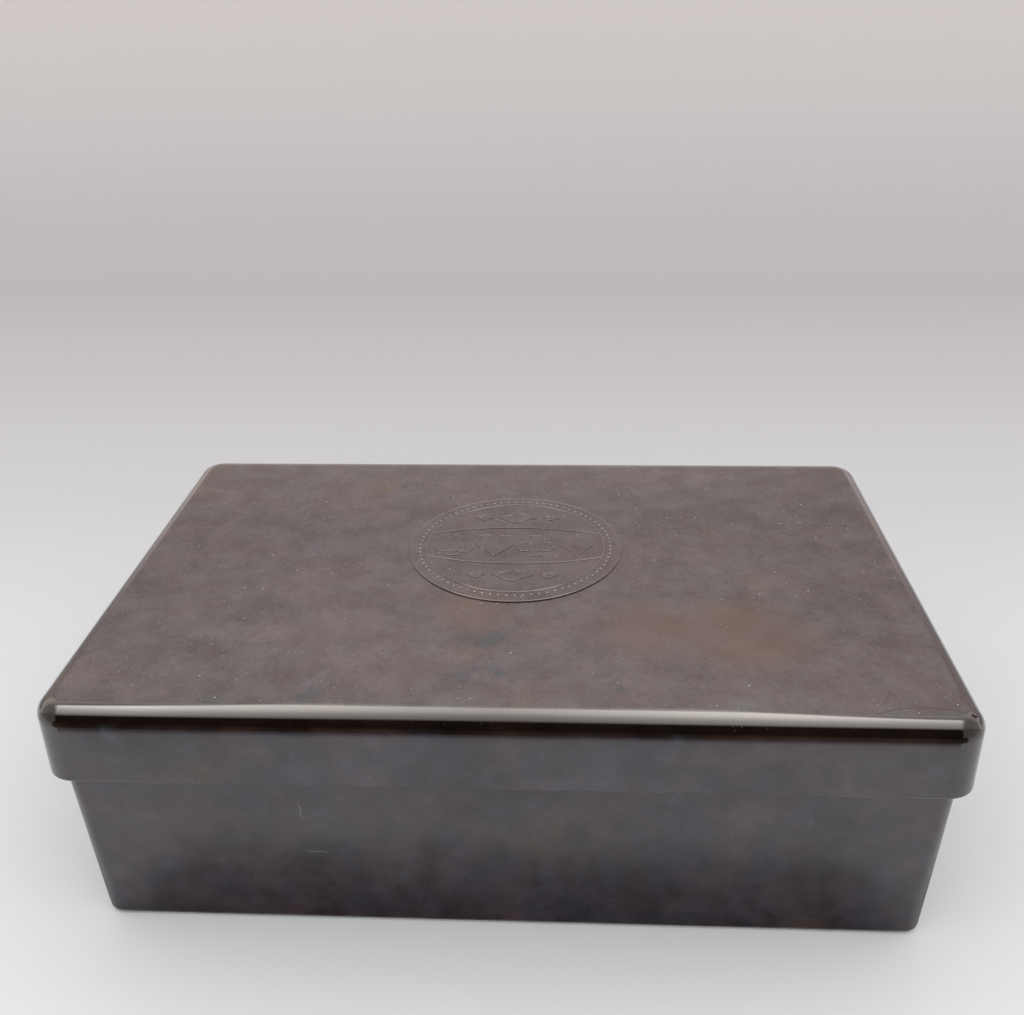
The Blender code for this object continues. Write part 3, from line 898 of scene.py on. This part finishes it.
def band_arcs():
    """Two shallow arcs that part the row from the lozenges, from ring to ring."""
    ring = INNER_RING_RADIUS - LINE_WIDTH / 2
    reach = math.sqrt(ring ** 2 - BAND_END_HALF_HEIGHT ** 2)
    rise = BAND_HALF_HEIGHT - BAND_END_HALF_HEIGHT
    radius = (reach ** 2 + rise ** 2) / (2 * rise)
    half_angle = math.degrees(math.asin(reach / radius))
    arcs = []
    for side in (-1, 1):
        arcs.append([(radius * cosine, side * (BAND_HALF_HEIGHT - radius + radius * sine))
                     for cosine, sine in arc(90 + half_angle, 90 - half_angle, 4 * CURVE_STEPS)])
    return arcs


def make_pips():
    """The suits and the lozenges as low plateaus with rounded edges, as one moulding."""
    shape = bmesh.new()
    for outline in pip_outlines() + lozenge_outlines():
        rings = [[(x, ROUNDEL_BACK_OFFSET + y, height) for x, y in outline]
                 for height in (DISC_HEIGHT - PIP_RISE, DISC_HEIGHT + PIP_RISE)]
        foot, top = add_loops(shape, rings)
        shape.faces.new(foot)
        shape.faces.new(top)
    pips = solid("roundel_pips", shape)
    return even_shading(round_edges(pips, PIP_EDGE_RADIUS, clamp=False))


def make_relief(material, bead_material):
    """What is moulded on the roundel's field: pips, thin lines and beads."""
    shape = bmesh.new()
    closed = [outline + outline[:1] for outline in pip_outlines() + lozenge_outlines()]
    for points in band_arcs() + closed:
        verts = [shape.verts.new((x, ROUNDEL_BACK_OFFSET + y, DISC_HEIGHT)) for x, y in points]
        for here, after in zip(verts, verts[1:]):
            shape.edges.new((here, after))
    bmesh.ops.remove_doubles(shape, verts=shape.verts, dist=LINE_WIDTH * MERGE_SHARE)
    mesh = bpy.data.meshes.new("roundel_lines")
    shape.to_mesh(mesh)
    shape.free()
    lines = run_tree(link("roundel_lines", mesh), raised_line_tree(),
                     {"Width": LINE_WIDTH, "Rise": LINE_RISE, "Material": material})
    beads = run_tree(link("roundel_beads", bpy.data.meshes.new("roundel_beads")), bead_ring_tree(),
                     {"Ring radius": BEAD_RING_RADIUS, "Ring middle": (0, ROUNDEL_BACK_OFFSET, DISC_HEIGHT),
                      "Bead radius": BEAD_RADIUS, "Rise share": BEAD_RISE_SHARE,
                      "Count": BEAD_COUNT, "Material": bead_material})
    return [dress(make_pips(), material), lines, beads]


def apart(tree, value, middle=0.0):
    """How far the value lies from a middle, to either side."""
    side = add(tree, 'ShaderNodeMath', (value, middle), operation='SUBTRACT')
    return add(tree, 'ShaderNodeMath', (side,), operation='ABSOLUTE')


def zone(tree, *limits):
    """Where all the limits hold at once, with soft ends. Each is a value, where it starts and
    ends, and what it gives there."""
    share = None
    for limit in limits:
        part = add(tree, 'ShaderNodeMapRange', limit, interpolation_type='SMOOTHSTEP')
        share = add(tree, 'ShaderNodeMath', (share, part), operation='MULTIPLY') if share else part
    return share


def clouded(tree, where, pattern, seed):
    """Soft clouds over the surface, from one of the patterns given with the values."""
    size, detail, roughness, start, full, least, most, shift = pattern
    moved = add(tree, 'ShaderNodeVectorMath', (where, (seed + shift,) * 3), operation='ADD')
    noise = add(tree, 'ShaderNodeTexNoise', {"Vector": moved, "Scale": 1 / size, "Detail": detail,
                                             "Roughness": roughness})
    return zone(tree, (noise, start, full, least, most))


def warped(tree, where, pattern, reach, seed):
    """The place pushed about by noise, so that what is drawn there runs ragged."""
    size, detail, roughness, shift = pattern
    moved = add(tree, 'ShaderNodeVectorMath', (where, (seed + shift,) * 3), operation='ADD')
    noise = add(tree, 'ShaderNodeTexNoise', {"Vector": moved, "Scale": 1 / size, "Detail": detail,
                                             "Roughness": roughness})
    centred = add(tree, 'ShaderNodeVectorMath', (noise.outputs["Color"], (0.5, 0.5, 0.5)),
                  operation='SUBTRACT')
    pushed = add(tree, 'ShaderNodeVectorMath', {0: centred, "Scale": reach}, operation='SCALE')
    return add(tree, 'ShaderNodeVectorMath', (where, pushed), operation='ADD')


def surface_height(tree, where, seed):
    """The long ripple that such a moulding cools with, under a faint peel."""
    grains = []
    for size, detail, roughness, shift in (PEEL, RIPPLE):
        moved = add(tree, 'ShaderNodeVectorMath', (where, (seed + shift,) * 3), operation='ADD')
        grains.append(add(tree, 'ShaderNodeTexNoise', {"Vector": moved, "Scale": 1 / size,
                                                       "Detail": detail, "Roughness": roughness}))
    peel, ripple = grains
    return add(tree, 'ShaderNodeMath', (peel, PEEL_SHARE, ripple), operation='MULTIPLY_ADD')


def patch_share(tree, ragged, middle, half_size):
    """1 in the middle of an ellipsoid, and 0 outside it."""
    centred = add(tree, 'ShaderNodeMapping', {
        "Vector": ragged, "Location": [-place / half for place, half in zip(middle, half_size)],
        "Scale": [1 / half for half in half_size]})
    away = add(tree, 'ShaderNodeVectorMath', (centred,), operation='LENGTH')
    return zone(tree, (away.outputs["Value"], *PATCH_FADE, 1, 0))


def speck_share(tree, where, spacing, radius, stretch, turn_degrees, most):
    """The share of scattered specks, or of short fibres where they are stretched."""
    turned = add(tree, 'ShaderNodeMapping', {
        "Vector": where, "Rotation": (0, 0, math.radians(turn_degrees)), "Scale": (1 / stretch, 1, 1)})
    cells = add(tree, 'ShaderNodeTexVoronoi', {"Vector": turned, "Scale": 1 / spacing})
    reach = radius / spacing
    return zone(tree, (cells.outputs["Distance"], SPECK_CORE_SHARE * reach, reach, 1, 0),
                (cells.outputs["Color"], *SPECK_PICK, 0, most))


def crack_share(tree, where, middle, radius):
    """The share of a thin arc seen from above."""
    centred = add(tree, 'ShaderNodeMapping', {
        "Vector": where, "Location": (-middle[0], -middle[1], 0), "Scale": (1, 1, 0)})
    away = add(tree, 'ShaderNodeVectorMath', (centred,), operation='LENGTH')
    off = apart(tree, away.outputs["Value"], radius)
    return zone(tree, (off, 0, CRACK_WIDTH / 2, CRACK_SHARE, 0))


def face_shares(tree, where, normal):
    """The shares of the surface that are level, upright walls, the front's rounded edge, which takes
    painted light, and rounded edges that face down, which take a painted highlight."""
    facing = add(tree, 'ShaderNodeSeparateXYZ', (normal,))
    place = add(tree, 'ShaderNodeSeparateXYZ', (where,))
    upward = facing.outputs["Z"]
    lean = apart(tree, upward)
    aside = apart(tree, place.outputs["X"])
    level = zone(tree, (upward, *LEVEL_RISE, 0, 1))
    upright = zone(tree, (lean, *WALL_LEAN, 1, 0), (place.outputs["Z"], *BLOOM_END, 1, 0))
    # Painted shade on the front's rounded edge, which fades out before the plan corners
    front_painted_light = zone(tree, (upward, *EDGE_START, 0, 1), (upward, *EDGE_END, 1, 0),
                  (facing.outputs["Y"], *FRONT_TURN, 1, 0), (aside, *FRONT_PAINT_END, FRONT_PAINT_SHARE, 0))
    # A painted highlight on rounded edges that face down
    under_painted_highlight = zone(tree, (upward, *UNDER_END, 1, 0), (upward, *UNDER_START, 0, UNDER_HIGHLIGHT_SHARE))
    return level, upright, front_painted_light, under_painted_highlight


def lay(tree, body, tones, coats):
    """Lays tones over the body one after another, each as far as its share reaches."""
    for tone, share in coats:
        body = add(tree, 'ShaderNodeMix', {"Factor": share, "A": body, "B": colour(tones[tone])},
                   data_type='RGBA')
    return body


def polished_phenolic(name, tones, seed, patches=(), crack=None):
    """Compression moulded phenolic resin, wax polished: a deep red-brown ground softly clouded by
    its wood flour, with cooler and ochre clouds and blue-black stains, under a hard gloss. Level
    faces carry a thin film of dust with specks and lint, upright ones a blue wax bloom. The front's
    rounded edge takes painted shade on the case and a painted glint on the beads, and rounded
    edges that face down take a painted highlight."""
    material = bpy.data.materials.new(name)
    material.use_nodes = True
    tree = material.node_tree
    shader = tree.nodes["Principled BSDF"]
    spot = add(tree, 'ShaderNodeTexCoord')
    where = add(tree, 'ShaderNodeVectorMath', {0: spot.outputs["Object"], "Scale": MILLIMETRES},
                operation='SCALE')
    level, upright, front_painted_light, under_painted_highlight = face_shares(tree, where, spot.outputs["Normal"])
    flowed = warped(tree, where, FLOW, FLOW_REACH, seed)
    ragged = warped(tree, where, RAGGED, RAGGED_REACH, seed)

    coats = [(tone, clouded(tree, flowed, pattern, seed)) for tone, pattern in CLOUDS.items()]
    # Painted shade on the front's rounded edge and a painted highlight on rounded edges that face down
    coats += [("front_painted_light", front_painted_light), ("under_painted_highlight", under_painted_highlight)]
    body = lay(tree, colour(tones["ground"]), tones, coats)
    body = add(tree, 'ShaderNodeMix', {"Factor": 1.0, "A": body, "B": clouded(tree, where, MOTTLE, seed)},
               data_type='RGBA', blend_type='MULTIPLY')

    coats = []
    for tone, side in (("dust", level), ("bloom", upright)):
        for pattern in FILMS[tone]:
            film = clouded(tree, where, pattern, seed)
            coats.append((tone, add(tree, 'ShaderNodeMath', (film, side), operation='MULTIPLY')))
    gloss = add(tree, 'ShaderNodeMapRange', {"Value": level, "To Min": 1.0, "To Max": LEVEL_GLOSS})
    dull = clouded(tree, flowed, ROUGHNESS, seed)
    breaks = clouded(tree, where, STAIN_BREAKS, seed)
    for tone, middle, half_size in patches:
        share = patch_share(tree, ragged, middle, half_size)
        if tone == "stain":
            share = add(tree, 'ShaderNodeMath', (share, breaks), operation='MULTIPLY')
            kept = zone(tree, (share, 0, 1, 1, STAIN_GLOSS))
            gloss = add(tree, 'ShaderNodeMath', (gloss, kept), operation='MULTIPLY')
        share = add(tree, 'ShaderNodeMath', (share, PATCH_STRENGTH[tone]), operation='MULTIPLY')
        coats.append((tone, share))
    if crack:
        split = add(tree, 'ShaderNodeMath', (crack_share(tree, where, *crack), level),
                    operation='MULTIPLY')
        coats.append(("crack", split))
        kept = zone(tree, (split, 0, 1, 1, 0))
        gloss = add(tree, 'ShaderNodeMath', (gloss, kept), operation='MULTIPLY')
        dull = add(tree, 'ShaderNodeMath', (dull, split), operation='MAXIMUM')
    crowd = clouded(tree, where, SPECK_CROWDS, seed)
    lying = add(tree, 'ShaderNodeMapRange', {"Value": level, "To Min": WALL_SPECK_SHARE, "To Max": 1.0})
    fall = add(tree, 'ShaderNodeMath', (crowd, lying), operation='MULTIPLY')
    for kind in SPECKS:
        share = add(tree, 'ShaderNodeMath', (speck_share(tree, where, *kind), fall),
                    operation='MULTIPLY')
        coats.append(("speck", share))
    body = lay(tree, body, tones, coats)

    bump = add(tree, 'ShaderNodeBump', {"Height": surface_height(tree, where, seed),
                                        "Distance": RIPPLE_DEPTH, "Strength": 1.0})
    tree.links.new(body.outputs[2], shader.inputs["Base Color"])
    tree.links.new(dull.outputs[0], shader.inputs["Roughness"])
    tree.links.new(bump.outputs[0], shader.inputs["Normal"])
    tree.links.new(gloss.outputs[0], shader.inputs["Coat Weight"])
    shader.inputs["IOR"].default_value = RESIN_IOR
    shader.inputs["Specular IOR Level"].default_value = RESIN_SPECULAR
    shader.inputs["Coat Roughness"].default_value = WAX_ROUGHNESS
    shader.inputs["Coat IOR"].default_value = WAX_IOR
    return material


def dress(piece, material):
    piece.data.materials.clear()
    piece.data.materials.append(material)
    return piece


def shade_by(tree, value, stops):
    """Colours or levels along the value, which runs from the first stop to the last."""
    low, high = stops[0][0], stops[-1][0]
    along = add(tree, 'ShaderNodeMapRange', (value, low, high))
    curve = add(tree, 'ShaderNodeValToRGB', (along,))
    entries = curve.color_ramp.elements
    entries[0].color, entries[1].color = stops[0][1], stops[-1][1]
    for place, shade in stops[1:-1]:
        entry = entries.new((place - low) / (high - low))
        entry.color = shade
    return curve


def levels(stops):
    """Grey stops and the level that white stands for."""
    peak = max(level for _, level in stops)
    return [(place, (level / peak, level / peak, level / peak, 1)) for place, level in stops], peak


def gloss_darkness(tree, across, back, height):
    """How much darker gloss reflections see the paper: a dark room beyond its front edge, a deep
    shade close against the case, and less light on the floor and on the wall's sides."""
    away = apart(tree, across)
    edge = add(tree, 'ShaderNodeMath', (across, FLOOR_GLOSS_TILT, back), operation='MULTIPLY_ADD')
    ahead = add(tree, 'ShaderNodeMath', (back, -ROOM_SPREAD, LID_LOW.y * ROOM_SPREAD),
                operation='MULTIPLY_ADD')
    spread = add(tree, 'ShaderNodeMath', (away, ahead), operation='SUBTRACT')
    shades = [zone(tree, (edge, FLOOR_GLOSS_END - FLOOR_GLOSS_FADE, FLOOR_GLOSS_END, 1, 0),
                   (spread, LID_HIGH.x, LID_HIGH.x + ROOM_SIDE_FADE, 1, 0))]
    offsets = []
    for place, half_size in ((across, BASE_HIGH.x), (back, BASE_HIGH.y)):
        offsets.append(add(tree, 'ShaderNodeMath', (apart(tree, place), half_size),
                           operation='SUBTRACT'))
    for out, along in (offsets, offsets[::-1]):
        shades.append(zone(tree, (out, -FOOT_LEAN, CONTACT_REACH, CONTACT_DARKNESS, 0),
                           (along, -CONTACT_END_FADE, CONTACT_END_FADE, 1, 0)))
    shades.append(zone(tree, (height, 0, FLOOR_LOSS_RISE, FLOOR_GLOSS_LOSS, 0),
                       (back, BASE_LOW.y, BASE_HIGH.y, 1, 0)))
    aside = apart(tree, across, WALL_MIDDLE)
    for near, far, loss, low, high in WALL_LOSSES:
        shades.append(zone(tree, (aside, near, far, 0, loss), (height, low, high, 0, 1)))
    darkness = shades[0]
    for shade in shades[1:]:
        darkness = add(tree, 'ShaderNodeMath', (darkness, shade), operation='MAXIMUM')
    return darkness


def stage_paper(name):
    """Matt paper under and behind the case: soft greys with painted shade, palest on the floor round it."""
    material = bpy.data.materials.new(name)
    material.use_nodes = True
    tree = material.node_tree
    shader = tree.nodes["Principled BSDF"]
    output = tree.nodes["Material Output"]
    split = add(tree, 'ShaderNodeSeparateXYZ', (add(tree, 'ShaderNodeNewGeometry').outputs["Position"],))
    across, back, height = split.outputs["X"], split.outputs["Y"], split.outputs["Z"]
    run = add(tree, 'ShaderNodeMath', (back, height), operation='ADD')
    # Painted shade: the paper's grey darkens along the floor and up the wall, and towards its sides
    paper = shade_by(tree, run, [(place, colour(code)) for place, code in PAPER_AND_SHADE_TONES])
    side = zone(tree, (apart(tree, across), *SIDE_PAINTED_SHADE_SPAN, 0, SIDE_PAINTED_SHADE_SHARE))
    paper = add(tree, 'ShaderNodeMix', {"Factor": side, "A": paper, "B": colour(SIDE_PAINTED_SHADE_TONE)},
                data_type='RGBA')
    glossy = add(tree, 'ShaderNodeLightPath').outputs["Is Glossy Ray"]
    extra = add(tree, 'ShaderNodeMath', [zone(tree, (height, *glow)) for glow in GLOSS_GLOWS],
                operation='ADD')
    glow = add(tree, 'ShaderNodeMath', (extra, glossy, zone(tree, (height, *WALL_GLOW))),
               operation='MULTIPLY_ADD')
    tree.links.new(paper.outputs[2], shader.inputs["Base Color"])
    tree.links.new(glow.outputs[0], shader.inputs["Emission Strength"])
    shader.inputs["Roughness"].default_value = PAPER_ROUGHNESS
    shader.inputs["Specular IOR Level"].default_value = 0.0
    shader.inputs["Emission Color"].default_value = colour(WALL_GLOW_TONE)
    darkness = gloss_darkness(tree, across, back, height)
    seen_dark = add(tree, 'ShaderNodeMath', (darkness, glossy), operation='MULTIPLY')
    dark = add(tree, 'ShaderNodeEmission', {"Strength": 0.0})
    mixed = add(tree, 'ShaderNodeMixShader', (seen_dark, shader, dark))
    tree.links.new(mixed.outputs[0], output.inputs["Surface"])
    return material


def make_stage():
    """A floor that sweeps up into a backdrop behind the case."""
    profile = [(STAGE_FRONT, 0.0)]
    for cosine, sine in arc(-90, 0, SWEEP_STEPS):
        profile.append((SWEEP_START + SWEEP_RADIUS * cosine, SWEEP_RADIUS * (1 + sine)))
    profile.append((SWEEP_START + SWEEP_RADIUS, WALL_TOP))
    shape = bmesh.new()
    rows = [[shape.verts.new((x, y, z)) for y, z in profile] for x in (-STAGE_HALF_WIDTH, STAGE_HALF_WIDTH)]
    for here in range(len(profile) - 1):
        shape.faces.new((rows[0][here], rows[1][here], rows[1][here + 1], rows[0][here + 1]))
    mesh = bpy.data.meshes.new("paper_sweep")
    shape.to_mesh(mesh)
    shape.free()
    mesh.shade_smooth()
    sweep = link("paper_sweep", mesh)
    dress(sweep, stage_paper("matt_paper"))


def lamp_level(tree, across, climb, off):
    """The level of the long soft lamp, and of what gloss reflections see beside and above it."""
    leaned = add(tree, 'ShaderNodeMath', (climb, zone(tree, (across, *LAMP_LEAN))), operation='ADD')
    bowed = add(tree, 'ShaderNodeMath', (climb, zone(tree, (off, *LAMP_BOW))), operation='ADD')
    climb_stops, climb_peak = levels(LAMP_CLIMB)
    side_stops, side_peak = levels(LAMP_SIDES)
    lamp = add(tree, 'ShaderNodeMath', (shade_by(tree, leaned, climb_stops),
                                        shade_by(tree, across, side_stops)), operation='MULTIPLY')
    end = zone(tree, (bowed, *LAMP_END, climb_peak * side_peak, 0))
    lamp = add(tree, 'ShaderNodeMath', (lamp, end), operation='MULTIPLY')
    beside = zone(tree, (off, *BESIDE_SIDE, 0, 1), (climb, *BESIDE_CLIMB, 0, BESIDE_LAMP))
    room = add(tree, 'ShaderNodeMath', (beside, zone(tree, (climb, *CEILING))), operation='MAXIMUM')
    return add(tree, 'ShaderNodeMath', (lamp, room), operation='MAXIMUM')


def make_world():
    """Pale to the camera, and soft light that is weaker low in front. Gloss reflections see a room
    that is dark there, a long soft lamp above it and mid tones beside them."""
    world = bpy.data.worlds.new("studio")
    bpy.context.scene.world = world
    world.use_nodes = True
    tree = world.node_tree
    tree.nodes.clear()
    heading = add(tree, 'ShaderNodeTexCoord').outputs["Generated"]
    split = add(tree, 'ShaderNodeSeparateXYZ', (heading,))
    across = split.outputs["X"]
    front = add(tree, 'ShaderNodeMath', (split.outputs["Y"], -1.0), operation='MULTIPLY')
    climb = add(tree, 'ShaderNodeMath', (split.outputs["Z"], front), operation='ARCTAN2')
    climb = add(tree, 'ShaderNodeMath', (climb,), operation='DEGREES')
    off = apart(tree, across, ROOM_MIDDLE)
    darkness = zone(tree, (climb, *DARK_CLIMB, 1, 0), (front, *DARK_TURN, 0, 1), (off, *DARK_SIDE, 1, 0))
    room = add(tree, 'ShaderNodeMix', {"Factor": darkness, "A": colour(ROOM_TONE), "B": colour(DARK_TONE)},
               data_type='RGBA')
    lit = add(tree, 'ShaderNodeVectorMath', {0: colour(LAMP_TONE)[:3],
                                             "Scale": lamp_level(tree, across, climb, off)},
              operation='SCALE')
    gloss = add(tree, 'ShaderNodeVectorMath', (room, lit), operation='ADD')
    soft = add(tree, 'ShaderNodeMix', {"Factor": darkness, "A": (SOFT_LIGHT,) * 4,
                                       "B": (FRONT_SOFT_LIGHT,) * 4}, data_type='RGBA')
    ray = add(tree, 'ShaderNodeLightPath')
    seen = add(tree, 'ShaderNodeMix', {"Factor": ray.outputs["Is Glossy Ray"], "A": soft, "B": gloss},
               data_type='RGBA')
    seen = add(tree, 'ShaderNodeMix', {"Factor": ray.outputs["Is Camera Ray"], "A": seen,
                                       "B": colour(BACKGROUND_TONE)}, data_type='RGBA')
    ground = add(tree, 'ShaderNodeBackground', {"Color": seen, "Strength": 1.0})
    output = add(tree, 'ShaderNodeOutputWorld')
    tree.links.new(ground.outputs[0], output.inputs["Surface"])


def make_camera():
    """At the photograph's viewpoint, aimed by its pitch, yaw and roll."""
    pitch = math.radians(CAMERA_PITCH_DEGREES)
    yaw = math.radians(CAMERA_YAW_DEGREES)
    roll = math.radians(CAMERA_ROLL_DEGREES)
    ahead = Vector((math.sin(yaw) * math.cos(pitch), math.cos(yaw) * math.cos(pitch), math.sin(pitch)))
    right = Vector((math.cos(yaw), -math.sin(yaw), 0))
    up = right.cross(ahead)
    rolled_right = right * math.cos(roll) + up * math.sin(roll)
    rolled_up = up * math.cos(roll) - right * math.sin(roll)
    data = bpy.data.cameras.new("view")
    data.sensor_width = SENSOR_WIDTH
    data.lens = FOCAL_PIXELS * SENSOR_WIDTH / IMAGE_WIDTH
    data.clip_start = CAMERA_CLIP
    camera = bpy.data.objects.new("view", data)
    bpy.context.scene.collection.objects.link(camera)
    turn = Matrix((rolled_right, rolled_up, -ahead)).transposed().to_4x4()
    camera.matrix_world = Matrix.Translation(CAMERA_PLACE) @ turn
    bpy.context.scene.camera = camera


make_camera()
make_stage()
make_world()

lid_material = polished_phenolic("moulded_phenolic_lid", CASE_TONES, 0.0, LID_PATCHES, LID_CRACK)
bead_material = polished_phenolic("moulded_phenolic_beads", BEAD_TONES, 0.0)
base_material = polished_phenolic("moulded_phenolic_base", CASE_TONES, 40.0, BASE_PATCHES)
rack_material = polished_phenolic("moulded_phenolic_racks", RACK_TONES, 80.0)

lid_shell = dress(make_lid_shell(), lid_material)
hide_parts("lid")
for piece in [lid_shell] + make_relief(lid_material, bead_material):
    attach(piece, "case_lid")

base_shell = dress(make_base_shell(), base_material)
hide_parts("base")
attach(base_shell, "case_base")

for piece in make_racks():
    dress(piece, rack_material)
    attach(piece, piece.name)

bpy.context.scene.view_settings.view_transform = 'Standard'
